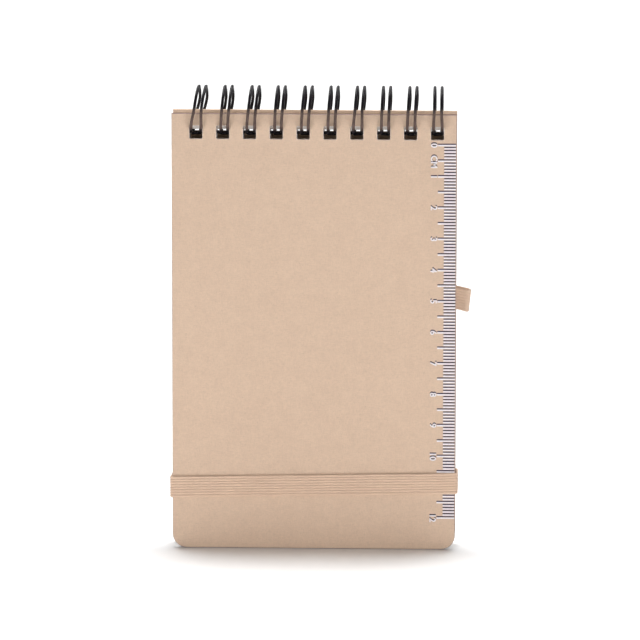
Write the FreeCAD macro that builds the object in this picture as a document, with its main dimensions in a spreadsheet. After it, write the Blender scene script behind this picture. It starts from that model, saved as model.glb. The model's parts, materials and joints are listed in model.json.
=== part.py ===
import FreeCAD, Part

import math
import os

import Sketcher

# Top-bound pocket notebook, standing on its lower edge: X is its width, Y its depth with
# the front cover towards -Y, and Z its height. The origin is the middle of its footprint.
# Two board covers and seventy leaves hang on one twin-loop wire, whose seam lies between the
# front cover and the first leaf and turns over with them. An elastic strap goes round
# the closed book near its foot, and an elastic pen loop stands out of its right-hand side.
# The leaves have slipped a little down the wire, so the book stands on them and the covers
# are a hair above the floor.

DRIVING = {
    # boards and paper
    "cover_width": 90.0,
    "cover_height": 139.9,
    "cover_lift": 0.1,
    "cover_thick": 1.2,
    "corner_radius": 4.5,
    "leaf_count": 70,
    "leaf_thick": 0.075,
    "leaf_pitch": 0.087,
    "leaf_gap": 0.075,
    "seam_room": 1.11,
    "leaf_inset": 2.0,
    "lining_thick": 0.15,
    # row of punched holes, three to the inch
    "hole_count": 10,
    "hole_pitch": 25.4 / 3,
    "hole_width": 4.1,
    "hole_height": 4.2,
    "hole_drop": 3.8,
    "leaf_hole_drop": 1.4,
    "hole_shift": 0.8,
    # twin-loop wire
    "ring_radius": 7.4,
    "ring_rise": 0.6,
    "wire_diameter": 0.95,
    "wire_spacing": 2.2,
    "wire_bend": 1.0,
    "seam_angle": 24.9,
    "tip_gap": 0.3,
    # both elastic straps
    "strap_thick": 0.7,
    "strap_gap": 0.15,
    "tab_gap": 0.05,
    "tab_margin": 0.3,
    # closing band
    "band_width": 6.8,
    "band_middle": 21.0,
    "band_tab": 8.0,
    "slit_inset": 12.0,
    "slit_width": 0.9,
    # pen loop
    "loop_width": 8.3,
    "loop_middle": 79.9,
    "loop_tab": 12.0,
    "loop_reach": 4.6,
    "loop_inward": 1.6,
    "loop_depth": 6.2,
}

# worked out in the sheet from the sizes above
DERIVED = {
    "inner_space": "=seam_room + 2 * leaf_gap + leaf_count * leaf_pitch + lining_thick",
    "cover_left": "=(strap_thick + strap_gap - loop_reach - cover_width) / 2",
    "front_inner": "=-inner_space / 2",
    "back_inner": "=inner_space / 2",
    "cover_outer": "=inner_space / 2 + cover_thick",
    "leaf_width": "=cover_width - 2 * leaf_inset",
    "leaf_height": "=cover_lift + cover_height - leaf_inset",
    "leaf_corner": "=corner_radius - leaf_inset / 2",
    "hole_left": "=(cover_width - (hole_count - 1) * hole_pitch - hole_width) / 2 + hole_shift",
    "hole_foot": "=cover_height - hole_drop - hole_height",
    "leaf_hole_foot": "=cover_lift + hole_foot - leaf_hole_drop",
    "tab_depth": "=strap_thick + 2 * tab_gap",
    "band_foot": "=band_middle - band_width / 2",
    "loop_foot": "=loop_middle - loop_width / 2",
}

# These leaves have a node each. The others share nodes, a few separate leaves in each.
SINGLE_LEAVES = range(31, 41)
LEAVES_IN_BLOCK = 5

X_AXIS = FreeCAD.Vector(1, 0, 0)
UP = FreeCAD.Vector(0, 0, 1)


# ------------------------------------------------------------------ sheet of sizes


def make_sheet(doc):
    """The spreadsheet of driving sizes and of what follows from them."""
    sheet = doc.addObject("Spreadsheet::Sheet", "sizes")
    rows = list(DRIVING.items()) + list(DERIVED.items())
    for row, (name, value) in enumerate(rows, start=1):
        sheet.set(f"A{row}", name)
        sheet.set(f"B{row}", str(value))
        sheet.setAlias(f"B{row}", name)
    doc.recompute()
    return sheet


def value_of(sheet, formula):
    """The present value of a formula such as "sizes.hole_left + 2 * sizes.hole_pitch"."""
    return float(sheet.evalExpression(formula))


# ------------------------------------------------------------------ sketches


def constrain(sketch, kind, *places):
    """Adds a constraint that has no size."""
    sketch.addConstraint(Sketcher.Constraint(kind, *places))


def dimension(sketch, sheet, formula, kind, *places):
    """Adds a dimension and ties it to a formula of the sheet's sizes."""
    index = sketch.addConstraint(Sketcher.Constraint(kind, *places, value_of(sheet, formula)))
    sketch.setExpression(f"Constraints[{index}]", formula)


def draw_rectangle(sketch, sheet, left, foot, width, height):
    """A rectangle from its lower left corner, each size given as a formula."""
    x, z, w, h = (value_of(sheet, formula) for formula in (left, foot, width, height))
    corners = [(x, z), (x + w, z), (x + w, z + h), (x, z + h)]
    first = sketch.GeometryCount
    for start, end in zip(corners, corners[1:] + corners[:1]):
        line = Part.LineSegment(FreeCAD.Vector(*start, 0), FreeCAD.Vector(*end, 0))
        sketch.addGeometry(line)
    edges = range(first, first + 4)
    bottom, right, top, left_side = edges
    for edge, following in zip(edges, (right, top, left_side, bottom)):
        constrain(sketch, "Coincident", edge, 2, following, 1)
    for edge, direction in zip(edges, ("Horizontal", "Vertical", "Horizontal", "Vertical")):
        constrain(sketch, direction, edge)
    dimension(sketch, sheet, left, "DistanceX", -1, 1, bottom, 1)
    dimension(sketch, sheet, foot, "DistanceY", -1, 1, bottom, 1)
    dimension(sketch, sheet, width, "DistanceX", bottom, 1, bottom, 2)
    dimension(sketch, sheet, height, "DistanceY", right, 1, right, 2)


def draw_plate(sketch, sheet, width, height, radius):
    """A plate's outline from the sketch's origin: square at the top, rounded at the foot."""
    w, h, r = (value_of(sheet, formula) for formula in (width, height, radius))
    right_circle = Part.Circle(FreeCAD.Vector(w - r, r, 0), UP, r)
    left_circle = Part.Circle(FreeCAD.Vector(r, r, 0), UP, r)
    sketch.addGeometry(
        [
            Part.LineSegment(FreeCAD.Vector(r, 0, 0), FreeCAD.Vector(w - r, 0, 0)),
            Part.ArcOfCircle(right_circle, -math.pi / 2, 0),
            Part.LineSegment(FreeCAD.Vector(w, r, 0), FreeCAD.Vector(w, h, 0)),
            Part.LineSegment(FreeCAD.Vector(w, h, 0), FreeCAD.Vector(0, h, 0)),
            Part.LineSegment(FreeCAD.Vector(0, h, 0), FreeCAD.Vector(0, r, 0)),
            Part.ArcOfCircle(left_circle, math.pi, 1.5 * math.pi),
        ]
    )
    foot, right_arc, right, top, left, left_arc = range(6)
    for edge, following in ((foot, right_arc), (right_arc, right), (left, left_arc), (left_arc, foot)):
        constrain(sketch, "Tangent", edge, 2, following, 1)
    for edge, following in ((right, top), (top, left)):
        constrain(sketch, "Coincident", edge, 2, following, 1)
    for edge, direction in ((top, "Horizontal"), (right, "Vertical"), (left, "Vertical")):
        constrain(sketch, direction, edge)
    constrain(sketch, "PointOnObject", foot, 1, -1)
    constrain(sketch, "PointOnObject", foot, 2, -1)
    constrain(sketch, "PointOnObject", left, 1, -2)
    constrain(sketch, "Equal", right_arc, left_arc)
    dimension(sketch, sheet, radius, "Radius", right_arc)
    dimension(sketch, sheet, width, "DistanceX", -1, 1, right, 2)
    dimension(sketch, sheet, height, "DistanceY", -1, 1, right, 2)


def draw_holes(sketch, sheet, inset, foot):
    """The row of square holes, in a sheet that is narrower than the cover by inset each side."""
    for number in range(int(sheet.hole_count)):
        left = f"sizes.hole_left - {inset} + {number} * sizes.hole_pitch"
        draw_rectangle(sketch, sheet, left, foot, "sizes.hole_width", "sizes.hole_height")


# ------------------------------------------------------------------ boards and lining


def origin_plane(body, role):
    """One of a body's own origin planes, found by its role."""
    return next(feature for feature in body.Origin.OriginFeatures if feature.Role == role)


def upright_sketch(body, name, depth="0"):
    """A sketch on the body's XZ plane, moved by depth towards -Y."""
    sketch = body.newObject("Sketcher::SketchObject", name)
    sketch.AttachmentSupport = (origin_plane(body, "XZ_Plane"), [""])
    sketch.MapMode = "FlatFace"
    sketch.setExpression("AttachmentOffset.Base.z", depth)
    return sketch


def punched_sheet(doc, sheet, label, thickness, face, inset="0"):
    """A plate with the row of holes, its rear side on the plane y = face."""
    body = doc.addObject("PartDesign::Body", label)
    body.Label = label
    outline = upright_sketch(body, f"{label}_outline")
    width = f"sizes.cover_width - 2 * {inset}"
    height = f"sizes.cover_height - 2 * {inset}"
    draw_plate(outline, sheet, width, height, f"sizes.corner_radius - {inset} / 2")
    draw_holes(outline, sheet, inset, f"sizes.hole_foot - {inset}")
    pad = body.newObject("PartDesign::Pad", f"{label}_pad")
    pad.Profile = outline
    pad.setExpression("Length", thickness)
    body.setExpression("Placement.Base.x", f"sizes.cover_left + {inset}")
    body.setExpression("Placement.Base.y", face)
    body.setExpression("Placement.Base.z", f"sizes.cover_lift + {inset}")
    return body


def pocket(body, sketch, depth):
    """Cuts a sketch that lies on the board's inner face, to a depth or right through."""
    cut = body.newObject("PartDesign::Pocket", f"{sketch.Name}_pocket")
    cut.Profile = sketch
    if depth is None:
        cut.Type = "ThroughAll"
    else:
        cut.setExpression("Length", depth)
    return cut


def back_cover(doc, sheet):
    """The back board, with slits for the band and recesses for the ends of both straps."""
    body = punched_sheet(doc, sheet, "back_cover", "sizes.cover_thick", "sizes.cover_outer")
    margin = "sizes.tab_margin"
    slit_left = "sizes.slit_inset - sizes.slit_width / 2"
    slits = upright_sketch(body, "band_slits", "sizes.cover_thick")
    foot = f"sizes.band_foot - sizes.cover_lift - {margin}"
    tall = f"sizes.band_width + 2 * {margin}"
    for left in (slit_left, f"sizes.cover_width - ({slit_left}) - sizes.slit_width"):
        draw_rectangle(slits, sheet, left, foot, "sizes.slit_width", tall)
    pocket(body, slits, None)

    recesses = upright_sketch(body, "tab_recesses", "sizes.cover_thick")
    wide = f"sizes.band_tab + sizes.slit_width / 2 + {margin}"
    for left in (slit_left, f"sizes.cover_width - ({slit_left}) - ({wide})"):
        draw_rectangle(recesses, sheet, left, foot, wide, tall)
    loop_wide = f"sizes.loop_tab + {margin}"
    draw_rectangle(
        recesses,
        sheet,
        f"sizes.cover_width - ({loop_wide})",
        f"sizes.loop_foot - sizes.cover_lift - {margin}",
        loop_wide,
        f"sizes.loop_width + 2 * {margin}",
    )
    pocket(body, recesses, "sizes.tab_depth")
    return body


def covers_and_lining(doc, sheet):
    """The two boards, and the paper glued inside the back one over the strap ends."""
    return [
        punched_sheet(doc, sheet, "front_cover", "sizes.cover_thick", "sizes.front_inner"),
        back_cover(doc, sheet),
        punched_sheet(
            doc, sheet, "back_lining", "sizes.lining_thick", "sizes.back_inner", "sizes.leaf_inset"
        ),
    ]


# ------------------------------------------------------------------ leaves


def leaf_sketch(doc, sheet):
    """The outline that every leaf is cut to."""
    sketch = doc.addObject("Sketcher::SketchObject", "leaf_outline")
    sketch.Placement = FreeCAD.Placement(FreeCAD.Vector(), FreeCAD.Rotation(X_AXIS, 90))
    draw_plate(sketch, sheet, "sizes.leaf_width", "sizes.leaf_height", "sizes.leaf_corner")
    draw_holes(sketch, sheet, "sizes.leaf_inset", "sizes.leaf_hole_foot")
    return sketch


def leaf(doc, outline, number):
    """One leaf, numbered from the front."""
    sheet_of_paper = doc.addObject("Part::Extrusion", f"leaf_{number:02d}")
    sheet_of_paper.Label = f"leaf_{number:02d}"
    sheet_of_paper.Base = outline
    sheet_of_paper.DirMode = "Normal"
    sheet_of_paper.Solid = True
    sheet_of_paper.setExpression("LengthFwd", "sizes.leaf_thick")
    first = "sizes.front_inner + sizes.seam_room + sizes.leaf_gap"
    rear = f"{first} + {number} * sizes.leaf_pitch"
    sheet_of_paper.setExpression("Placement.Base.x", "sizes.cover_left + sizes.leaf_inset")
    sheet_of_paper.setExpression("Placement.Base.y", rear)
    return sheet_of_paper


def leaf_block(doc, outline, numbers):
    """Neighbouring leaves that share a node, as separate solids."""
    label = f"leaves_{numbers[0]:02d}_{numbers[-1]:02d}"
    block = doc.addObject("Part::Compound", label)
    block.Label = label
    block.Links = [leaf(doc, outline, number) for number in numbers]
    return block


def leaves(doc, sheet):
    """All the leaves, front to back: blocks, the single ones of the middle, and blocks."""
    outline = leaf_sketch(doc, sheet)
    count = int(sheet.leaf_count)
    made = [leaf(doc, outline, number) for number in SINGLE_LEAVES]
    before = range(1, SINGLE_LEAVES.start)
    after = range(SINGLE_LEAVES.stop, count + 1)
    for run in (before, after):
        for first in range(0, len(run), LEAVES_IN_BLOCK):
            made.append(leaf_block(doc, outline, run[first : first + LEAVES_IN_BLOCK]))
    return made


# ------------------------------------------------------------------ twin-loop wire


def on_ring(sheet, x, angle):
    """The point of the wire's circle at an angle in radians, from straight down to the front."""
    radius = sheet.ring_radius
    height = sheet.cover_lift + sheet.cover_height + sheet.ring_rise
    return FreeCAD.Vector(x, -radius * math.sin(angle), height - radius * math.cos(angle))


def along_ring(angle):
    """The direction in which the angle grows on the wire's circle."""
    return FreeCAD.Vector(0, -math.cos(angle), math.sin(angle))


def ring_arc(sheet, x, start, end):
    """The wire's run round the circle between two angles."""
    points = [on_ring(sheet, x, angle) for angle in (start, (start + end) / 2, end)]
    return Part.Arc(*points).toShape()


def quarter_bend(sheet, x, angle, side):
    """The bend between a run round the circle and a straight run of the wire's seam."""
    radius = sheet.wire_bend
    top = on_ring(sheet, x, angle)
    centre = top + X_AXIS * (side * radius)
    bottom = centre - along_ring(angle) * radius
    middle = centre + (X_AXIS * -side - along_ring(angle)) * (radius / math.sqrt(2))
    points = [top, middle, bottom] if side > 0 else [bottom, middle, top]
    return Part.Arc(*points).toShape(), bottom


def wire_path(sheet):
    """The whole wire's centre line, from its left end to its right end."""
    radius = sheet.ring_radius
    half_pair = sheet.wire_spacing / 2
    seam = math.radians(sheet.seam_angle)
    bend_at = seam + sheet.wire_bend / radius
    tip_room = half_pair + sheet.wire_diameter + sheet.tip_gap
    tip_at = seam + 2 * math.pi - tip_room / radius
    first = sheet.cover_left + sheet.hole_left + sheet.hole_width / 2

    edges = []
    last_back = None
    for number in range(int(sheet.hole_count)):
        middle = first + number * sheet.hole_pitch
        left, right = middle - half_pair, middle + half_pair
        bend_in, back = quarter_bend(sheet, left, bend_at, -1)
        if last_back is not None:
            edges.append(Part.LineSegment(last_back, back).toShape())
        tip = on_ring(sheet, middle, tip_at) + along_ring(tip_at) * half_pair
        turn = [on_ring(sheet, left, tip_at), tip, on_ring(sheet, right, tip_at)]
        bend_out, last_back = quarter_bend(sheet, right, bend_at, 1)
        edges += [
            bend_in,
            ring_arc(sheet, left, bend_at, tip_at),
            Part.Arc(*turn).toShape(),
            ring_arc(sheet, right, tip_at, bend_at),
            bend_out,
        ]
    return Part.Wire(edges)


def round_pipe(path, diameter):
    """A round wire along a path of tangent arcs and lines."""
    first_edge = path.OrderedEdges[0]
    start = first_edge.valueAt(first_edge.FirstParameter)
    direction = first_edge.tangentAt(first_edge.FirstParameter)
    section = Part.Wire([Part.makeCircle(diameter / 2, start, direction)])
    pipe = path.makePipeShell([section], True, False)
    expected = math.pi * diameter**2 / 4 * path.Length
    if abs(pipe.Volume / expected - 1) > 0.001:
        raise ValueError(f"the wire holds {pipe.Volume:.2f} mm3 and not {expected:.2f}")
    return pipe


def binding_wire(doc, sheet):
    """The binding: one wire bent into ten pairs of loops. No primitive or sweep of the
    document follows such a path, so its shape is made here from the sheet's sizes."""
    wire = doc.addObject("Part::Feature", "twin_loop_wire")
    wire.Label = "twin_loop_wire"
    wire.Shape = round_pipe(wire_path(sheet), sheet.wire_diameter)
    return wire


# ------------------------------------------------------------------ elastic straps


def rounded_path(points, radius):
    """A path of lines with an arc at each inner point: (start, end, arc's centre or None)."""
    pieces = []
    start = points[0]
    for before, corner, after in zip(points, points[1:], points[2:]):
        toward = (before - corner).normalize()
        onward = (after - corner).normalize()
        entry, leaving = corner + toward * radius, corner + onward * radius
        pieces.append((start, entry, None))
        pieces.append((entry, leaving, corner + (toward + onward) * radius))
        start = leaving
    pieces.append((start, points[-1], None))
    return pieces


def side_of_strap(pieces, offset):
    """One side of a strap: its middle line's pieces, moved sideways by offset."""
    edges = []
    side = FreeCAD.Vector()
    for start, end, centre in pieces:
        if centre is None:
            side = UP.cross(end - start).normalize() * offset
            edges.append(Part.LineSegment(start + side, end + side).toShape())
            continue
        first = start + side
        radius = (first - centre).Length
        middle = centre + ((start + end) / 2 - centre).normalize() * radius
        last = centre + (end - centre).normalize() * radius
        edges.append(Part.Arc(first, middle, last).toShape())
    return edges


def strap(doc, sheet, label, points, radius, foot, width):
    """A flat strap bent round upright corners. Its section is a strip between two offsets of
    one middle line, which no sketch holds plainly, so its shape is made here."""
    pieces = rounded_path([FreeCAD.Vector(x, y, foot) for x, y in points], radius)
    half = sheet.strap_thick / 2
    left, right = side_of_strap(pieces, half), side_of_strap(pieces, -half)
    ends = [
        Part.LineSegment(left[place].Vertexes[place].Point, right[place].Vertexes[place].Point)
        for place in (0, -1)
    ]
    outline = Part.Wire(Part.__sortEdges__(left + right + [end.toShape() for end in ends]))
    strip = doc.addObject("Part::Feature", label)
    strip.Label = label
    strip.Shape = Part.Face(outline).extrude(UP * width)
    return strip


def elastic_band(doc, sheet):
    """The closing band, from its left end inside the back cover round to its right end."""
    beyond = sheet.strap_gap + sheet.strap_thick / 2
    left, right = sheet.cover_left, sheet.cover_left + sheet.cover_width
    tab = sheet.back_inner + sheet.tab_gap + sheet.strap_thick / 2
    rear = sheet.cover_outer + beyond
    half_way = [
        (left + sheet.slit_inset + sheet.band_tab, tab),
        (left + sheet.slit_inset, tab),
        (left + sheet.slit_inset, rear),
        (left - beyond, rear),
        (left - beyond, -rear),
    ]
    points = half_way + [(left + right - x, y) for x, y in reversed(half_way)]
    bend = (rear - tab) / 2 - sheet.tab_gap
    return strap(doc, sheet, "elastic_band", points, bend, sheet.band_foot, sheet.band_width)


def pen_loop(doc, sheet):
    """The pen loop, from its end inside the back cover out past the cover and back."""
    right = sheet.cover_left + sheet.cover_width
    half = sheet.strap_thick / 2
    tab = sheet.back_inner + sheet.tab_gap + half
    outer = right + sheet.loop_reach - half
    inner = right - sheet.loop_inward + half
    front = sheet.back_inner + sheet.tab_gap + sheet.strap_thick - sheet.loop_depth + half
    points = [
        (right - sheet.loop_tab, tab),
        (outer, tab),
        (outer, front),
        (inner, front),
        (inner, tab - half - sheet.tab_gap),
    ]
    bend = sheet.strap_thick * 1.5
    return strap(doc, sheet, "pen_loop", points, bend, sheet.loop_foot, sheet.loop_width)


# ------------------------------------------------------------------ building and writing


def check(doc, nodes):
    """Stops the build if any feature failed or any piece is empty or broken."""
    for feature in doc.Objects:
        if "Invalid" in feature.State or "Error" in feature.State:
            raise RuntimeError(f"{feature.Name} failed: {feature.State}")
    for node in nodes:
        if node.Shape.isNull() or not node.Shape.isValid() or not node.Shape.Solids:
            raise RuntimeError(f"{node.Label} has no sound solid")


def main():
    doc = FreeCAD.newDocument("notebook")
    sheet = make_sheet(doc)
    nodes = covers_and_lining(doc, sheet)
    nodes += leaves(doc, sheet)
    nodes += [binding_wire(doc, sheet), elastic_band(doc, sheet), pen_loop(doc, sheet)]
    doc.recompute()
    check(doc, nodes)
    os.makedirs("parts", exist_ok=True)
    for node in nodes:
        node.Shape.exportStep(f"parts/{node.Label}.step")
        box = node.Shape.optimalBoundingBox(False)
        print(
            f"{node.Label:16s} {len(node.Shape.Solids)} solids {node.Shape.Volume:9.2f} mm3"
            f"  x {box.XMin:7.2f} {box.XMax:7.2f}  y {box.YMin:6.2f} {box.YMax:6.2f}"
            f"  z {box.ZMin:7.2f} {box.ZMax:7.2f}"
        )


main()
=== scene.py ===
import json
import math

import bmesh
import bpy
from mathutils import Matrix, Vector


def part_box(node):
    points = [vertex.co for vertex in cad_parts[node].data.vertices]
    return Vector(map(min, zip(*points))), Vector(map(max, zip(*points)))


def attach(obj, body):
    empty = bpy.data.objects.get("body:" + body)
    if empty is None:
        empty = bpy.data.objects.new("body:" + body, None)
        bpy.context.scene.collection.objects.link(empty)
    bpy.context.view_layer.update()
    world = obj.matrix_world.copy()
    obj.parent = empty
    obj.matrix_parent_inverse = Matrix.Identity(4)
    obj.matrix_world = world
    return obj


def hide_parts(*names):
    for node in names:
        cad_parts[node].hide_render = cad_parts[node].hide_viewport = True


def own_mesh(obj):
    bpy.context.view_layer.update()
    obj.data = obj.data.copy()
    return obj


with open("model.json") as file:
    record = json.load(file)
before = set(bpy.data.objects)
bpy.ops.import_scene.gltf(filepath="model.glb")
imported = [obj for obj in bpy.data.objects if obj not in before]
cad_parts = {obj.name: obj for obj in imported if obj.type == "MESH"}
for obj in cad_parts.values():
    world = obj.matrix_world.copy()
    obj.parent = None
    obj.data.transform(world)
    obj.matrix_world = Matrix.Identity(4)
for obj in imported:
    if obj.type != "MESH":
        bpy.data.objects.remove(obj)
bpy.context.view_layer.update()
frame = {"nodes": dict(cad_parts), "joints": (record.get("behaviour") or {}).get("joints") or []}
MM = 0.001

# ------------------------------------------------------------------ places taken from the frame

FRONT_LOW, FRONT_HIGH = (Vector(corner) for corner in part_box("front_cover"))
BACK_LOW, BACK_HIGH = (Vector(corner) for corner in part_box("back_cover"))
LINING_LOW, LINING_HIGH = (Vector(corner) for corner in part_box("back_lining"))
WIRE_HIGH = Vector(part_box("twin_loop_wire")[1])
BAND_LOW, BAND_HIGH = (Vector(corner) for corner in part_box("elastic_band"))
LOOP_LOW, LOOP_HIGH = (Vector(corner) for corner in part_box("pen_loop"))
COVER_JOINT = next(j for j in frame["joints"] if j["name"] == "front_cover_turn")
RING_CENTRE = Vector(COVER_JOINT["pos_m"])

COVER_THICK = FRONT_HIGH.y - FRONT_LOW.y
COVER_MIDDLE = (FRONT_LOW.x + FRONT_HIGH.x) / 2
CORNER_RADIUS = 4.5 * MM
EDGE_ROUND = 0.14 * MM

HOLE_COUNT = 10
HOLE_PITCH = 25.4 / 3 * MM
HOLE_SHIFT = 0.8 * MM
HOLE_WIDTH = 4.1 * MM
HOLE_HEIGHT = 4.2 * MM
HOLE_DROP = 3.8 * MM
HOLE_CORNER = 0.45 * MM

WIRE_THICK = 0.95 * MM
RING_RADIUS = WIRE_HIGH.y - WIRE_THICK / 2
STRAP_THICK = 0.7 * MM

hole_places = [
    COVER_MIDDLE + HOLE_SHIFT + (number - (HOLE_COUNT - 1) / 2) * HOLE_PITCH
    for number in range(HOLE_COUNT)
]


# ------------------------------------------------------------------ camera, light and floor


CAMERA_DISTANCE = 1.944
CAMERA_DEGREES = (2.0, 10.43, 0.06)
CAMERA_TARGET = Vector((-0.1 * MM, 0, 73.26 * MM))
CAMERA_LENS = 344.2
WORLD_STRENGTH = 0.14
# name, place, point it looks at, size, power
LIGHTS = (
    ("left", (-1.1, -1.55, 0.26), (0, 0, 0.06), (1.2, 0.44), 9.3),
    ("right", (1.1, -1.55, 0.26), (0, 0, 0.06), (1.2, 0.44), 8.5),
    ("above", (0, 0.14, 1.15), (0, 0.02, 0), (0.6, 0.24), 13),
    ("backdrop", (0, 1.2, 1.35), (0, 1.0, 0), (1.6, 0.8), 19),
)
FLOOR_LIGHT_TURNS = (30, -30, -90, -150, 150)
FLOOR_LIGHT_REACH = 1.35
FLOOR_LIGHT_SIZE = (0.8, 0.8)
FLOOR_LIGHT_POWER = 2.6
FLOOR_LIGHT_SPREAD = 80
FLOOR_HALF = 3.0


def make_camera():
    """A long lens a little to the right of the notebook and above it."""
    azimuth, elevation, roll = (math.radians(angle) for angle in CAMERA_DEGREES)
    away = Vector(
        (
            math.sin(azimuth) * math.cos(elevation),
            -math.cos(azimuth) * math.cos(elevation),
            math.sin(elevation),
        )
    )
    data = bpy.data.cameras.new("camera")
    data.sensor_width = 36
    data.lens = CAMERA_LENS
    data.clip_start = 0.05
    data.clip_end = 20
    camera = bpy.data.objects.new("camera", data)
    turn = away.to_track_quat("Z", "Y") @ Matrix.Rotation(roll, 3, "Z").to_quaternion()
    camera.matrix_world = Matrix.LocRotScale(
        CAMERA_TARGET + away * CAMERA_DISTANCE, turn, None
    )
    bpy.context.scene.collection.objects.link(camera)
    bpy.context.scene.camera = camera


def area_light(name, place, aim, size, power, spread=180):
    data = bpy.data.lights.new(name, "AREA")
    data.shape = "RECTANGLE"
    data.size, data.size_y = size
    data.energy = power
    data.spread = math.radians(spread)
    light = bpy.data.objects.new(name, data)
    direction = Vector(aim) - Vector(place)
    light.matrix_world = Matrix.LocRotScale(
        Vector(place), direction.to_track_quat("-Z", "Y"), None
    )
    bpy.context.scene.collection.objects.link(light)


def make_studio():
    """White surroundings, soft lights on the notebook and round it, and a pale floor."""
    scene = bpy.context.scene
    scene.view_settings.view_transform = "Standard"
    world = bpy.data.worlds.new("studio")
    world.use_nodes = True
    background = world.node_tree.nodes["Background"]
    background.inputs["Color"].default_value = (1, 1, 1, 1)
    background.inputs["Strength"].default_value = WORLD_STRENGTH
    scene.world = world

    for name, place, aim, size, power in LIGHTS:
        area_light(name, place, aim, size, power)
    reach = FLOOR_LIGHT_REACH
    for degrees in FLOOR_LIGHT_TURNS:
        turn = math.radians(degrees)
        x, y = reach * math.cos(turn), reach * math.sin(turn)
        area_light(
            f"floor_{degrees}",
            (x, y, reach),
            (x, y, 0),
            FLOOR_LIGHT_SIZE,
            FLOOR_LIGHT_POWER,
            FLOOR_LIGHT_SPREAD,
        )

    floor_mesh = bpy.data.meshes.new("floor")
    half = FLOOR_HALF
    corners = [(-half, -half, 0), (half, -half, 0), (half, half, 0), (-half, half, 0)]
    floor_mesh.from_pydata(corners, [], [(0, 1, 2, 3)])
    floor = bpy.data.objects.new("floor", floor_mesh)
    bpy.context.scene.collection.objects.link(floor)
    floor.data.materials.append(floor_paper())


# ------------------------------------------------------------------ materials


class Surface:
    """A node material round one principled shader, with short helpers to wire it up."""

    def __init__(self, name, roughness, **plain):
        self.material = bpy.data.materials.new(name)
        self.material.use_nodes = True
        self.tree = self.material.node_tree
        self.shader = self.tree.nodes["Principled BSDF"]
        self.shader.inputs["Roughness"].default_value = roughness
        for socket, value in plain.items():
            self.shader.inputs[socket.replace("_", " ")].default_value = value
        self.place = self.tree.nodes.new("ShaderNodeTexCoord").outputs["Object"]

    def stretched(self, scale):
        """The object's coordinates in metres, scaled along each axis."""
        node = self.tree.nodes.new("ShaderNodeMapping")
        node.inputs["Scale"].default_value = scale
        self.tree.links.new(self.place, node.inputs["Vector"])
        return node.outputs["Vector"]

    def noise(self, scale, detail=2.0, rough=0.5, coordinates=None):
        node = self.tree.nodes.new("ShaderNodeTexNoise")
        node.inputs["Scale"].default_value = scale
        node.inputs["Detail"].default_value = detail
        node.inputs["Roughness"].default_value = rough
        self.tree.links.new(coordinates or self.place, node.inputs["Vector"])
        return node.outputs["Fac"]

    def ramp(self, value, *stops):
        """Colours or greys along a value: each stop is (position, colour)."""
        node = self.tree.nodes.new("ShaderNodeValToRGB")
        elements = node.color_ramp.elements
        while len(elements) < len(stops):
            elements.new(0.5)
        for element, (position, colour) in zip(elements, stops):
            element.position = position
            element.color = (*colour, 1) if len(colour) == 3 else (*colour * 3, 1)
        self.tree.links.new(value, node.inputs["Fac"])
        return node.outputs["Color"]

    def mix(self, first, second, amount, blend="MIX"):
        node = self.tree.nodes.new("ShaderNodeMix")
        node.data_type = "RGBA"
        node.blend_type = blend
        for socket, value in (("Factor", amount), ("A", first), ("B", second)):
            inputs = [i for i in node.inputs if i.name == socket and i.enabled]
            self.feed(inputs[0], value)
        return next(o for o in node.outputs if o.enabled)

    def maths(self, operation, first, second=0.0):
        node = self.tree.nodes.new("ShaderNodeMath")
        node.operation = operation
        self.feed(node.inputs[0], first)
        self.feed(node.inputs[1], second)
        return node.outputs[0]

    def feed(self, socket, value):
        if isinstance(value, bpy.types.NodeSocket):
            self.tree.links.new(value, socket)
        elif isinstance(value, tuple):
            socket.default_value = (*value, 1)
        else:
            socket.default_value = value

    def span(self, value, start, end, low, high):
        """low up to start, high from end, and smooth between them."""
        node = self.tree.nodes.new("ShaderNodeMapRange")
        node.interpolation_type = "SMOOTHSTEP"
        limits = {"From Min": start, "From Max": end, "To Min": low, "To Max": high}
        for socket, number in limits.items():
            node.inputs[socket].default_value = number
        self.tree.links.new(value, node.inputs["Value"])
        return node.outputs["Result"]

    def attribute(self, name):
        """A value stored on the mesh's points."""
        node = self.tree.nodes.new("ShaderNodeAttribute")
        node.attribute_name = name
        return node.outputs["Fac"]

    def axis(self, name):
        node = self.tree.nodes.new("ShaderNodeSeparateXYZ")
        self.tree.links.new(self.place, node.inputs["Vector"])
        return node.outputs[name]

    def colour(self, value):
        self.feed(self.shader.inputs["Base Color"], value)

    def roughness(self, value, low, high):
        node = self.tree.nodes.new("ShaderNodeMapRange")
        node.inputs["To Min"].default_value = low
        node.inputs["To Max"].default_value = high
        self.tree.links.new(value, node.inputs["Value"])
        self.tree.links.new(node.outputs["Result"], self.shader.inputs["Roughness"])

    def bump(self, *layers):
        """Bump layers, each (height, depth in metres)."""
        normal = None
        for height, depth in layers:
            node = self.tree.nodes.new("ShaderNodeBump")
            node.inputs["Distance"].default_value = depth
            self.tree.links.new(height, node.inputs["Height"])
            if normal is not None:
                self.tree.links.new(normal, node.inputs["Normal"])
            normal = node.outputs["Normal"]
        self.tree.links.new(normal, self.shader.inputs["Normal"])


FLECK_STRENGTH = 0.35
# Depths below the back board's top where its painted gap shade fades out.
GAP_SHADE_TOP, GAP_SHADE_FOOT = 0.85 * MM, 1.15 * MM


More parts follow.
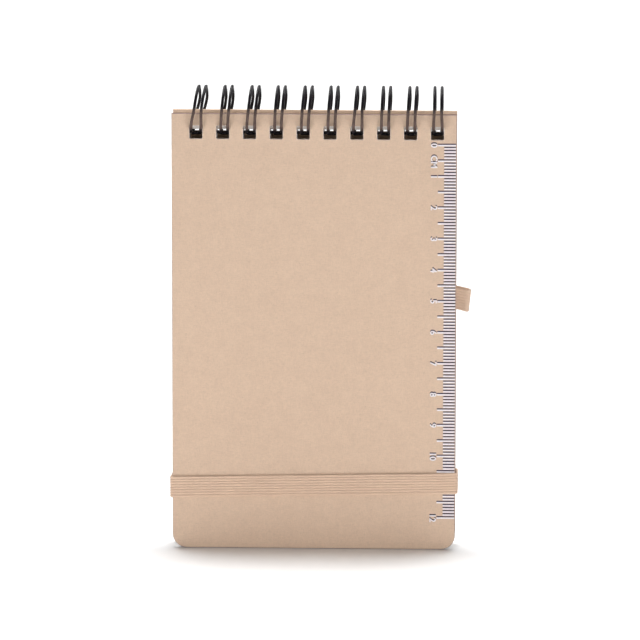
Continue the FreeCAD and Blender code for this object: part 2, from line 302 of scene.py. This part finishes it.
def kraft_board(name, light, dark, inside=False):
    """Uncoated kraft board: long paper fibres, soft cloudiness and a few darker flecks. The
    inside of the back board gets painted shade on its inner face below its top: a dark strip in
    the gap above the leaves' top edges."""
    s = Surface(name, 0.85, Specular_IOR_Level=0.25)
    clouds = s.noise(260, 3, 0.6)
    along = s.noise(1, 4, 0.65, s.stretched((900, 900, 4200)))
    across = s.noise(1, 4, 0.65, s.stretched((4200, 900, 1100)))
    fibres = s.mix(along, across, 0.5)
    base = s.ramp(clouds, (0.3, dark), (0.7, light))
    grain = s.ramp(fibres, (0.32, (0.88,)), (0.5, (0.985,)), (0.68, (1.08,)))
    surface = s.mix(base, grain, 1.0, "MULTIPLY")
    flecks = s.noise(1, 1, 0.4, s.stretched((1500, 1500, 2600)))
    spots = s.ramp(flecks, (0.70, (0,)), (0.78, (1,)))
    strength = s.maths("MULTIPLY", spots, FLECK_STRENGTH)
    surface = s.mix(surface, tuple(part * 0.72 for part in dark), strength)
    # Painted shade: the inner face is darkened below the top, in place of the shadow in the gap
    # between the covers.
    if inside:
        face = s.span(s.axis("Y"), BACK_LOW.y + 0.02 * MM, BACK_LOW.y + 0.3 * MM, 1, 0)
        height = s.span(s.axis("Z"), BACK_HIGH.z - GAP_SHADE_FOOT, BACK_HIGH.z - GAP_SHADE_TOP, 1, 0)
        painted_light_mask = s.maths("MULTIPLY", s.maths("MULTIPLY", face, height), 0.9)
        surface = s.mix(surface, GAP_PAINTED_SHADE, painted_light_mask)
    s.colour(surface)
    s.roughness(fibres, 0.74, 0.95)
    s.bump((clouds, 0.00004), (fibres, 0.00003))
    return s.material


def cut_board(name, light, dark):
    """The cut edge of board: pressed layers in two tones. The pale rims are lighter than its
    face; the outline's dark edge is painted shade.
    """
    s = Surface(name, 0.9, Specular_IOR_Level=0.2)
    layers = s.noise(1, 3, 0.6, s.stretched((500, 9000, 500)))
    specks = s.noise(2600, 2, 0.6)
    s.colour(s.ramp(s.mix(layers, specks, 0.4), (0.3, dark), (0.7, light)))
    s.bump((layers, 0.00003), (specks, 0.00002))
    return s.material


def elastic_cloth(name, light, dark, groove):
    """Woven elastic: rubber ribs under fine yarn, with painted shade in the grooves between them
    and along the strap's edges.
    """
    s = Surface(name, 0.92, Specular_IOR_Level=0.2, Sheen_Weight=0.15, Sheen_Roughness=0.5)
    yarn = s.noise(1, 3, 0.6, s.stretched((5200, 5200, 1500)))
    clouds = s.noise(160, 2, 0.5)
    tone = s.mix(yarn, clouds, 0.35)
    cloth = s.ramp(tone, (0.32, dark), (0.66, light))
    # Painted shade: the groove colour is mixed in by the stored painted-shade amount.
    s.colour(s.mix(cloth, groove, s.ramp(s.attribute("groove"), (0.45, (0,)), (1.0, (1,)))))
    s.roughness(yarn, 0.82, 0.98)
    s.bump((yarn, 0.00005))
    return s.material


def wire_coating(name):
    """Glossy black nylon coating over steel wire, with a painted brown reflection of the kraft
    cover on the front strands from the hole up to about the ring's middle.
    """
    s = Surface(name, 0.36, Specular_IOR_Level=0.1, Coat_Weight=0.03, Coat_Roughness=0.2)
    clouds = s.noise(420, 3, 0.55)
    grains = s.noise(4200, 2, 0.5)
    black = s.ramp(clouds, (0.35, (0.006, 0.005, 0.007)), (0.7, (0.013, 0.011, 0.014)))
    # Painted reflection: the kraft cover's brown, mixed into the front strands below the ring's
    # middle.
    painted_reflection = s.ramp(clouds, (0.35, (0.085, 0.058, 0.050)), (0.7, (0.140, 0.098, 0.086)))
    middle = RING_CENTRE.z
    height = s.span(s.axis("Z"), middle - 0.2 * MM, middle + 2.2 * MM, 1, 0)
    inside = s.span(s.axis("Z"), middle - 6.2 * MM, middle - 4.6 * MM, 0, 1)
    front = s.span(s.axis("Y"), -4.6 * MM, -3.6 * MM, 1, 0)
    painted_light_mask = s.maths("MULTIPLY", s.maths("MULTIPLY", height, inside), front)
    s.colour(s.mix(black, painted_reflection, painted_light_mask))
    s.roughness(clouds, 0.24, 0.36)
    s.bump((grains, 0.000006))
    return s.material


LINE_SPACING, LINE_THICK = 7 * MM, 0.22 * MM
HEAD_MARGIN, FOOT_MARGIN = 20 * MM, 9 * MM


def page_paper(name):
    """Cream writing paper with printed ruled lines and a soft tooth."""
    s = Surface(name, 0.88, Specular_IOR_Level=0.2)
    fibres = s.noise(2400, 3, 0.6)
    clouds = s.noise(90, 2, 0.5)
    tone = s.mix(fibres, clouds, 0.4)
    paper = s.ramp(tone, (0.3, (0.86, 0.83, 0.80)), (0.7, (0.92, 0.90, 0.87)))
    height = s.axis("Z")
    turn = s.maths("FRACT", s.maths("DIVIDE", height, LINE_SPACING))
    line = s.maths("LESS_THAN", turn, LINE_THICK / LINE_SPACING)
    below = s.maths("LESS_THAN", height, FRONT_HIGH.z - HEAD_MARGIN)
    above = s.maths("GREATER_THAN", height, FOOT_MARGIN)
    printed = s.maths("MULTIPLY", line, s.maths("MULTIPLY", below, above))
    s.colour(s.mix(paper, (0.50, 0.53, 0.56), s.maths("MULTIPLY", printed, 0.75)))
    s.bump((fibres, 0.00001))
    return s.material


def pressed_ink(name, light, dark):
    """The pigment left in the pressed marks of the ruler. The same shader also makes the dark
    painted shadow along the marks' upper edges.
    """
    s = Surface(name, 0.7, Specular_IOR_Level=0.3)
    patches = s.noise(1900, 3, 0.6)
    s.colour(s.ramp(patches, (0.3, dark), (0.65, light)))
    s.bump((patches, 0.00001))
    return s.material


def floor_paper():
    """White backdrop paper."""
    s = Surface("floor_paper", 0.95, Specular_IOR_Level=0.1)
    clouds = s.noise(40, 2, 0.5)
    s.colour(s.ramp(clouds, (0.3, (0.93, 0.93, 0.93)), (0.7, (0.95, 0.95, 0.95))))
    return s.material


# ------------------------------------------------------------------ building helpers


def add_object(name, mesh, materials, body):
    """Puts a mesh in the scene as a piece of the frame."""
    piece = bpy.data.objects.new(name, mesh)
    bpy.context.scene.collection.objects.link(piece)
    for material in materials:
        mesh.materials.append(material)
    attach(piece, body)
    return piece


def smooth_by_angle(mesh, degrees):
    for face in mesh.polygons:
        face.use_smooth = True
    mesh.set_sharp_from_angle(angle=math.radians(degrees))


def flat_curve(name, outlines, depth, bevel=0.0):
    """A filled curve in the XZ plane, as a mesh. Each outline is a list of closed points;
    inner outlines are holes. It is depth thick and centred on y = 0."""
    curve = bpy.data.curves.new(name, "CURVE")
    curve.dimensions = "2D"
    curve.fill_mode = "BOTH"
    curve.extrude = depth / 2 - bevel
    curve.bevel_depth = bevel
    curve.bevel_resolution = 1
    curve.offset = -bevel
    for outline in outlines:
        spline = curve.splines.new("POLY")
        spline.points.add(len(outline) - 1)
        for point, (x, z) in zip(spline.points, outline):
            point.co = (x, z, 0, 1)
        spline.use_cyclic_u = True
    return curve_to_mesh(curve)


def curve_to_mesh(curve):
    """The mesh of a flat curve or text, stood upright: its Y becomes Z, its front faces -Y."""
    holder = bpy.data.objects.new(curve.name, curve)
    bpy.context.scene.collection.objects.link(holder)
    graph = bpy.context.evaluated_depsgraph_get()
    mesh = bpy.data.meshes.new_from_object(holder.evaluated_get(graph))
    bpy.data.objects.remove(holder)
    mesh.transform(Matrix.Rotation(math.pi / 2, 4, "X"))
    return mesh


def arc_points(centre, radius, start, end, steps):
    """Points round an arc, both ends included. Angles are in degrees."""
    angles = [math.radians(start + (end - start) * step / steps) for step in range(steps + 1)]
    return [(centre[0] + radius * math.cos(a), centre[1] + radius * math.sin(a)) for a in angles]


def rounded_box(left, foot, right, top, radius, steps=6):
    """A rectangle's outline with all four corners rounded."""
    outline = []
    corners = ((right, foot, -90), (right, top, 0), (left, top, 90), (left, foot, 180))
    for x, z, start in corners:
        inward = (radius if x == left else -radius, radius if z == foot else -radius)
        centre = (x + inward[0], z + inward[1])
        outline += arc_points(centre, radius, start, start + 90, steps)
    return outline


def cover_outline(low, high):
    """A cover's outline: square at the top, rounded at the foot."""
    r = CORNER_RADIUS
    return [
        *arc_points((low.x + r, low.z + r), r, 180, 270, 14),
        *arc_points((high.x - r, low.z + r), r, 270, 360, 14),
        (high.x, high.z),
        (low.x, high.z),
    ]


def join_meshes(name, meshes):
    """Several meshes as one."""
    made = bmesh.new()
    for mesh in meshes:
        made.from_mesh(mesh)
    joined = bpy.data.meshes.new(name)
    made.to_mesh(joined)
    made.free()
    return joined


# ------------------------------------------------------------------ front cover with its ruler

RULER_ZERO = FRONT_HIGH.z - 9.7 * MM
RULER_LENGTH = 120
RULER_RIGHT = FRONT_HIGH.x - 0.2 * MM
TICK_SHORT = 3.75 * MM
TICK_LONG = 5.7 * MM
TICK_THICK = 0.5 * MM
TICK_CORNER = 0.08 * MM
# How far the dark painted-shadow copy of the marks sits above the pale ink.
SHADE_RISE = 0.41 * MM
MARK_DEPTH = 0.16 * MM
INK_THICK = 0.05 * MM
DIGIT_HEIGHT = 2.05 * MM
DIGIT_TOP = FRONT_HIGH.x - 6.0 * MM
FONT_CAP_SHARE = 0.73


def ruler_ticks():
    """The outlines of all millimetre ticks."""
    outlines = []
    for step in range(RULER_LENGTH + 1):
        z = RULER_ZERO - step * MM
        length = TICK_LONG if step % 5 == 0 else TICK_SHORT
        foot, top = z - TICK_THICK / 2, z + TICK_THICK / 2
        left = RULER_RIGHT - length
        outlines.append(rounded_box(left, foot, RULER_RIGHT, top, TICK_CORNER, 2))
    return outlines


def ruler_label(text, z, depth):
    """A number of the ruler, as a mesh that reads downwards along the ticks."""
    font = bpy.data.curves.new(f"label_{text}", "FONT")
    font.body = text
    font.size = DIGIT_HEIGHT / FONT_CAP_SHARE
    font.align_x = "CENTER"
    font.extrude = depth / 2
    font.offset = 0.07 * MM
    font.resolution_u = 4
    mesh = curve_to_mesh(font)
    mesh.transform(Matrix.Rotation(math.pi / 2, 4, "Y"))
    mesh.transform(Matrix.Translation((DIGIT_TOP - DIGIT_HEIGHT, 0, z)))
    return mesh


def ruler_marks(name, depth):
    """All the ruler's ticks and numbers as one mesh, centred on y = 0."""
    meshes = [flat_curve(f"{name}_ticks", ruler_ticks(), depth)]
    for number in range(RULER_LENGTH // 10 + 1):
        meshes.append(ruler_label(str(number), RULER_ZERO - number * 10 * MM, depth))
    meshes.append(ruler_label("CM", RULER_ZERO - 5.2 * MM, depth))
    return join_meshes(name, meshes)


def cut_away(piece, tool_mesh):
    """Cuts a tool out of a piece for good."""
    tool = bpy.data.objects.new("tool", tool_mesh)
    bpy.context.scene.collection.objects.link(tool)
    cut = piece.modifiers.new("cut", "BOOLEAN")
    cut.operation = "DIFFERENCE"
    cut.solver = "EXACT"
    cut.use_self = True
    cut.object = tool
    bpy.context.view_layer.update()
    graph = bpy.context.evaluated_depsgraph_get()
    mesh = bpy.data.meshes.new_from_object(piece.evaluated_get(graph))
    piece.modifiers.clear()
    piece.data = mesh
    bpy.data.objects.remove(tool)


def mark_edges(mesh, low, high, outer, inner):
    """Gives the faces of a board that don't look forwards or backwards the material of its
    outline, or of its holes and grooves."""
    reach = EDGE_ROUND + 0.03 * MM
    r = CORNER_RADIUS
    for face in mesh.polygons:
        if abs(face.normal.y) > 0.97:
            continue
        x, z = face.center.x, face.center.z
        side = min(x - low.x, high.x - x)
        foot = z - low.z
        in_corner = side < r and foot < r
        at_outline = side < reach or foot < reach or high.z - z < reach
        face.material_index = outer if in_corner or at_outline else inner


def punched_holes(height):
    """The outlines of the holes for the wire."""
    top = FRONT_HIGH.z - HOLE_DROP
    half = HOLE_WIDTH / 2
    return [rounded_box(x - half, top - height, x + half, top, HOLE_CORNER) for x in hole_places]


def front_cover(board, cut, rim, light_ink, ruler_shadow_paint):
    """The front board, its punched holes and the ruler pressed into it."""
    outlines = [cover_outline(FRONT_LOW, FRONT_HIGH), *punched_holes(HOLE_HEIGHT)]
    mesh = flat_curve("front_board", outlines, COVER_THICK, EDGE_ROUND)
    middle = (FRONT_LOW.y + FRONT_HIGH.y) / 2
    mesh.transform(Matrix.Translation((0, middle, 0)))
    piece = add_object("front_board", mesh, [board, cut, rim], "front_cover")

    face = FRONT_LOW.y
    groove = ruler_marks("ruler_groove", 2 * MARK_DEPTH)
    shade = groove.copy()
    shade.transform(Matrix.Translation((0, 0, SHADE_RISE)))
    groove = join_meshes("ruler_groove", [groove, shade])
    groove.transform(Matrix.Translation((0, face, 0)))
    cut_away(piece, groove)
    # Outline faces get the dark painted-shade edge material; hole and groove faces get the pale
    # rim.
    mark_edges(piece.data, FRONT_LOW, FRONT_HIGH, 1, 2)
    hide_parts("front_cover")

    # The pale layer is printed ink; the dark layer, raised by SHADE_RISE, is painted shadow of
    # each mark's upper wall.
    ink_and_shadow_layers = (
        ("ruler_lines", light_ink, MARK_DEPTH - 2 * INK_THICK, 0),
        ("ruler_painted_shadows", ruler_shadow_paint, MARK_DEPTH - INK_THICK, SHADE_RISE),
    )
    for name, material, depth, rise in ink_and_shadow_layers:
        mesh = ruler_marks(name, INK_THICK)
        mesh.transform(Matrix.Translation((0, face + depth + INK_THICK / 2, rise)))
        add_object(name, mesh, [material], "front_cover")


# ------------------------------------------------------------------ back lining

LINING_HOLE_HEIGHT = 2.75 * MM


def back_lining(paper):
    """The paper inside the back cover. Its shorter holes hide the foot of the cover's holes."""
    outlines = [cover_outline(LINING_LOW, LINING_HIGH), *punched_holes(LINING_HOLE_HEIGHT)]
    mesh = flat_curve("back_lining_sheet", outlines, LINING_HIGH.y - LINING_LOW.y)
    mesh.transform(Matrix.Translation((0, (LINING_LOW.y + LINING_HIGH.y) / 2, 0)))
    piece = add_object("back_lining_sheet", mesh, [paper], "back")
    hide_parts("back_lining")


# ------------------------------------------------------------------ twin-loop wire

WIRE_SIDES = 16
RING_STEPS = 72
LOOP_HALF = 1.12 * MM
TIP_HALF = 1.1 * MM
SEAM_ANGLE = math.radians(24.9)
TIP_ROOM = TIP_HALF + WIRE_THICK + 0.3 * MM
SEAM_BEND = 1.0 * MM
LEAN_START, LEAN_FULL = math.radians(20), math.radians(200)
BACK_FROM, BACK_TO = math.radians(238), math.radians(318)
SPREAD_FROM, SPREAD_TO = math.radians(105), math.radians(55)

# For each loop from the left, in mm: how far it sits to the right of its hole's middle, how
# much further its top leans, and how far each side stands from its middle at the cover.
LOOPS = (
    (-0.06, 1.95, 1.56),
    (0.45, 1.25, 1.08),
    (0.32, 1.45, 1.22),
    (0.47, 1.08, 1.06),
    (0.45, 1.16, 1.08),
    (0.43, 0.87, 1.10),
    (0.20, 0.98, 1.34),
    (0.38, 0.52, 1.14),
    (0.12, 0.66, 1.20),
    (0.12, 0.08, 1.34),
)


def smooth(share):
    share = max(0.0, min(1.0, share))
    return share * share * (3 - 2 * share)


def half_at(number, angle):
    """Half the way between a loop's two sides: they spread where they come to the cover."""
    spread = smooth((SPREAD_FROM - angle) / (SPREAD_FROM - SPREAD_TO))
    return LOOP_HALF + (LOOPS[number][2] * MM - LOOP_HALF) * spread


def rolled(number, x, angle, radius):
    """A point of the wire: the loop's flat place, leaned over and rolled up on the ring."""
    place, lean = LOOPS[number][:2]
    over = lean * (1 - math.cos(min(angle, LEAN_FULL) - LEAN_START)) / 2
    over *= 1 - smooth((angle - BACK_FROM) / (BACK_TO - BACK_FROM))
    return Vector(
        (
            x + (place + over) * MM,
            RING_CENTRE.y - radius * math.sin(angle),
            RING_CENTRE.z - radius * math.cos(angle),
        )
    )


def wire_line():
    """The wire's centre line. It comes from the seam behind the front cover, out through the
    cover's hole, over the top and back up through the book to its tip beside the seam."""
    start = SEAM_ANGLE + SEAM_BEND / RING_RADIUS
    end = SEAM_ANGLE + 2 * math.pi - TIP_ROOM / RING_RADIUS
    turns = [start + (end - start) * step / RING_STEPS for step in range(RING_STEPS + 1)]
    points = []
    for number, middle in enumerate(hole_places):
        foot = half_at(number, start)
        sides = []
        for side in (-1, 1):
            bend = arc_points((0, 0), SEAM_BEND, -90, 0, 6)
            run = []
            for out, way in bend[:-1]:
                x = middle + side * (foot + SEAM_BEND - out)
                run.append(rolled(number, x, start + way / RING_RADIUS, RING_RADIUS))
            for angle in turns[:-1]:
                x = middle + side * half_at(number, angle)
                run.append(rolled(number, x, angle, RING_RADIUS))
            sides.append(run)
        half = half_at(number, end)
        tip = [
            rolled(number, middle + out, end + way / RING_RADIUS, RING_RADIUS)
            for out, way in arc_points((0, 0), half, 180, 0, 12)
        ]
        points += sides[0] + tip + list(reversed(sides[1]))
    return points


def tube(name, points, radius, sides):
    """A round tube along points, closed at both ends, with no twist along its length."""
    made = bmesh.new()
    normal = None
    rings = []
    last = len(points) - 1
    for place, point in enumerate(points):
        ahead = points[min(place + 1, last)] - points[max(place - 1, 0)]
        tangent = ahead.normalized()
        if normal is None:
            normal = tangent.orthogonal().normalized()
        normal = (normal - tangent * normal.dot(tangent)).normalized()
        side = tangent.cross(normal)
        turns = [2 * math.pi * step / sides for step in range(sides)]
        outwards = [normal * math.cos(turn) + side * math.sin(turn) for turn in turns]
        rings.append([made.verts.new(point + outward * radius) for outward in outwards])
    for first, second in zip(rings, rings[1:]):
        for step in range(sides):
            after = (step + 1) % sides
            made.faces.new((first[step], first[after], second[after], second[step]))
    made.faces.new(list(reversed(rings[0])))
    made.faces.new(rings[-1])
    bmesh.ops.recalc_face_normals(made, faces=made.faces)
    mesh = bpy.data.meshes.new(name)
    made.to_mesh(mesh)
    made.free()
    return mesh


def binding(coating):
    mesh = tube("binding_wire", wire_line(), WIRE_THICK / 2, WIRE_SIDES)
    smooth_by_angle(mesh, 50)
    piece = add_object("binding_wire", mesh, [coating], "binding")
    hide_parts("twin_loop_wire")


# ------------------------------------------------------------------ elastic straps


def rounded_run(corners, radius, steps, spacing):
    """Points along a run of straight stretches in plan, with an arc at each inner corner."""
    points = [Vector(corners[0])]
    for before, corner, after in zip(corners, corners[1:], corners[2:]):
        corner = Vector(corner)
        back = (Vector(before) - corner).normalized()
        onward = (Vector(after) - corner).normalized()
        centre = corner + (back + onward) * radius
        for step in range(steps + 1):
            share = step / steps
            angle = share * math.pi / 2
            inward = onward * math.cos(angle) + back * math.sin(angle)
            points.append(centre - inward * radius)
    points.append(Vector(corners[-1]))
    filled = [points[0]]
    for start, end in zip(points, points[1:]):
        count = max(1, math.ceil((end - start).length / spacing))
        filled += [start.lerp(end, (part + 1) / count) for part in range(count)]
    return filled


def strap_section(width, ribs, thick, relief, inner_shade, edge_shade):
    """The strap's closed outline: (height, distance from its middle plane, shade). The shade is
    painted shade: inner_shade darkens its inner grooves and edge_shade its two edges."""
    samples = 8
    count = ribs * samples
    round_off = 0.35 * MM
    side = []
    for step in range(count + 1):
        height = -width / 2 + width * step / count
        groove = 1 - abs(math.sin(math.pi * ribs * step / count))
        near_end = min(1.0, (width / 2 - abs(height)) / round_off)
        edge = math.sqrt(max(0.0, 1 - (1 - near_end) ** 2))
        half = (thick / 2 - relief * groove) * (0.35 + 0.65 * edge)
        at_edge = step < samples / 2 or step > count - samples / 2
        side.append((height, half, groove * (edge_shade if at_edge else inner_shade)))
    return side + [(height, -half, shade) for height, half, shade in reversed(side)]


def ribbed_strap(name, path, place, width, ribs, relief=0.18 * MM, shades=(0.8, 0.55)):
    """A ribbed elastic strap along a plan path. place gives a section point's own place from
    its plan point and its height in the strap."""
    # shades are the painted shade strengths of the inner grooves and of the two edges.
    section = strap_section(width, ribs, STRAP_THICK, relief, *shades)
    made = bmesh.new()
    painted_shade_of = made.verts.layers.float.new("groove")
    rows = []
    last = len(path) - 1
    for number, point in enumerate(path):
        ahead = (path[min(number + 1, last)] - path[max(number - 1, 0)]).normalized()
        sideways = Vector((ahead.y, -ahead.x))
        row = []
        for height, out, shade in section:
            vert = made.verts.new(place(point + sideways * out, height))
            vert[painted_shade_of] = shade
            row.append(vert)
        rows.append(row)
    count = len(section)
    for first, second in zip(rows, rows[1:]):
        for step in range(count):
            after = (step + 1) % count
            made.faces.new((first[step], first[after], second[after], second[step]))
    made.faces.new(rows[0])
    made.faces.new(list(reversed(rows[-1])))
    bmesh.ops.recalc_face_normals(made, faces=made.faces)
    mesh = bpy.data.meshes.new(name)
    made.to_mesh(mesh)
    made.free()
    smooth_by_angle(mesh, 60)
    return mesh


BAND_WIDTH = BAND_HIGH.z - BAND_LOW.z
BAND_MIDDLE = (BAND_LOW.z + BAND_HIGH.z) / 2
BAND_TILT = 1.8 * MM
BAND_SLIP = 0.2 * MM
BAND_DROP = 2.1 * MM
BAND_RIBS = 8
SLIT_INSET = 12 * MM
STRAP_BEND = 0.6 * MM
BEND_STEPS = 6
BAND_SPACING = 1.5 * MM
TAIL_FORWARD = 1.2 * MM
TAIL_INSIDE = 6 * MM
STRAP_GAP = 0.05 * MM


def closing_band(cloth):
    """The closing band: its front with both sides, and the two tails behind the back cover."""
    half = STRAP_THICK / 2
    left, right = BAND_LOW.x + half, BAND_HIGH.x - half
    front, rear = BAND_LOW.y + half, BAND_HIGH.y - half
    inner = BACK_LOW.y + STRAP_GAP + half
    behind = BACK_HIGH.y - half

    def tilted(point, height):
        """The front rises to the right, and the left side comes down towards the back."""
        across = (point.x - left) / (right - left) - 0.5
        forward = max(0.0, min(1.0, (rear - point.y) / (rear - front)))
        rise = (BAND_TILT * across - BAND_SLIP) * forward
        drop = BAND_DROP * (0.5 - across) * (1 - forward)
        return Vector((point.x, point.y, BAND_MIDDLE + height + rise - drop))

    def level(point, height):
        """Behind the back cover the band comes level at its slit."""
        way = (point.x - left) / SLIT_INSET
        drop = BAND_DROP * (1 - smooth(way))
        return Vector((point.x, point.y, BAND_MIDDLE + height - drop))

    corners = [(left, behind), (left, front), (right, front), (right, behind)]
    path = rounded_run(corners, STRAP_BEND, BEND_STEPS, BAND_SPACING)
    mesh = ribbed_strap("band_front", path, tilted, BAND_WIDTH, BAND_RIBS)
    piece = add_object("band_front", mesh, [cloth], "back")
    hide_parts("elastic_band")
    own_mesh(piece)

    for name, edge, way in (("band_tail_left", left, 1), ("band_tail_right", right, -1)):
        cover_edge = BACK_LOW.x if way > 0 else BACK_HIGH.x
        slit = cover_edge + way * SLIT_INSET
        corners = [
            (edge, behind - TAIL_FORWARD),
            (edge, rear),
            (slit, rear),
            (slit, inner),
            (slit + way * TAIL_INSIDE, inner),
        ]
        path = rounded_run(corners, STRAP_BEND, BEND_STEPS, BAND_SPACING)
        mesh = ribbed_strap(name, path, level, BAND_WIDTH, BAND_RIBS)
        add_object(name, mesh, [cloth], "back")


PEN_DROOP = 0.24
PEN_RIBS = 8
PEN_WIDTH = 7.0 * MM
PEN_DEPTH = 3.5 * MM
PEN_SLANT = 0.11
PEN_RISE = 0.6 * MM
PEN_TAIL = 9 * MM
PEN_INSET = 1.2 * MM
PEN_BEND = 1.2 * MM
PEN_RELIEF = 0.1 * MM
# Painted shade strengths of the pen loop's inner grooves and of its dark top and bottom edges.
PEN_SHADES = (0.55, 1.0)


def pen_loop(cloth):
    """The pen loop: a soft flattened ring that droops as it leaves the cover's edge."""
    half = STRAP_THICK / 2
    edge = BACK_HIGH.x
    rear = BACK_LOW.y + STRAP_GAP + half
    outer = LOOP_HIGH.x - half - PEN_SLANT * PEN_WIDTH / 2 + 0.2 * MM
    front = rear - PEN_DEPTH
    inner = edge - PEN_INSET
    middle = (LOOP_LOW.z + LOOP_HIGH.z) / 2 + PEN_RISE

    def drooping(point, height):
        beyond = max(0.0, point.x - edge)
        slant = PEN_SLANT * height * smooth(beyond / (LOOP_HIGH.x - edge))
        return Vector((point.x + slant, point.y, middle + height - PEN_DROOP * beyond))

    corners = [
        (edge - PEN_TAIL, rear),
        (outer, rear),
        (outer, front),
        (inner, front),
        (inner, rear - STRAP_THICK),
    ]
    path = rounded_run(corners, PEN_BEND, 8, 0.6 * MM)
    mesh = ribbed_strap(
        "pen_loop_cloth", path, drooping, PEN_WIDTH, PEN_RIBS, PEN_RELIEF, PEN_SHADES
    )
    piece = add_object("pen_loop_cloth", mesh, [cloth], "back")
    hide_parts("pen_loop")


# ------------------------------------------------------------------ pieces that stay CAD


def paint(node, *materials):
    """Gives a node that keeps its own mesh its materials."""
    mesh = frame["nodes"][node].data
    mesh.materials.clear()
    for material in materials:
        mesh.materials.append(material)


# ------------------------------------------------------------------ the whole scene

KRAFT_LIGHT = (0.697, 0.518, 0.388)
KRAFT_DARK = (0.668, 0.492, 0.368)
# Colour of the painted shade in the gap on the back board's inside.
GAP_PAINTED_SHADE = (0.13, 0.085, 0.07)

make_camera()
make_studio()
board_material = kraft_board("kraft_board", KRAFT_LIGHT, KRAFT_DARK)
# Painted shade: the dark tone of the board's outline edges.
edge_shade_material = cut_board("kraft_edge_painted_shade", (0.46, 0.33, 0.29), (0.32, 0.22, 0.20))
rim_material = cut_board("kraft_rim", (0.88, 0.77, 0.70), (0.70, 0.56, 0.48))
lining_material = kraft_board("kraft_lining", (0.62, 0.45, 0.33), (0.57, 0.41, 0.30))
# The third colour is the painted shade of the grooves and edges.
cloth_material = elastic_cloth(
    "kraft_elastic", (0.75, 0.55, 0.41), (0.66, 0.47, 0.355), (0.36, 0.24, 0.18)
)
paper_material = page_paper("page_paper")
light_ink = pressed_ink("ruler_light", (0.93, 0.89, 0.91), (0.84, 0.79, 0.83))
# Colour of the painted shadow along the ruler marks' upper edges.
ruler_shadow_paint = pressed_ink("ruler_painted_shadow", (0.062, 0.042, 0.078), (0.038, 0.025, 0.05))

front_cover(board_material, edge_shade_material, rim_material, light_ink, ruler_shadow_paint)
binding(wire_coating("black_wire"))
closing_band(cloth_material)
pen_loop(cloth_material)
paint("back_cover", kraft_board("kraft_back", KRAFT_LIGHT, KRAFT_DARK, inside=True))
back_lining(lining_material)
for node in frame["nodes"]:
    if node.startswith(("leaf_", "leaves_")):
        paint(node, paper_material)
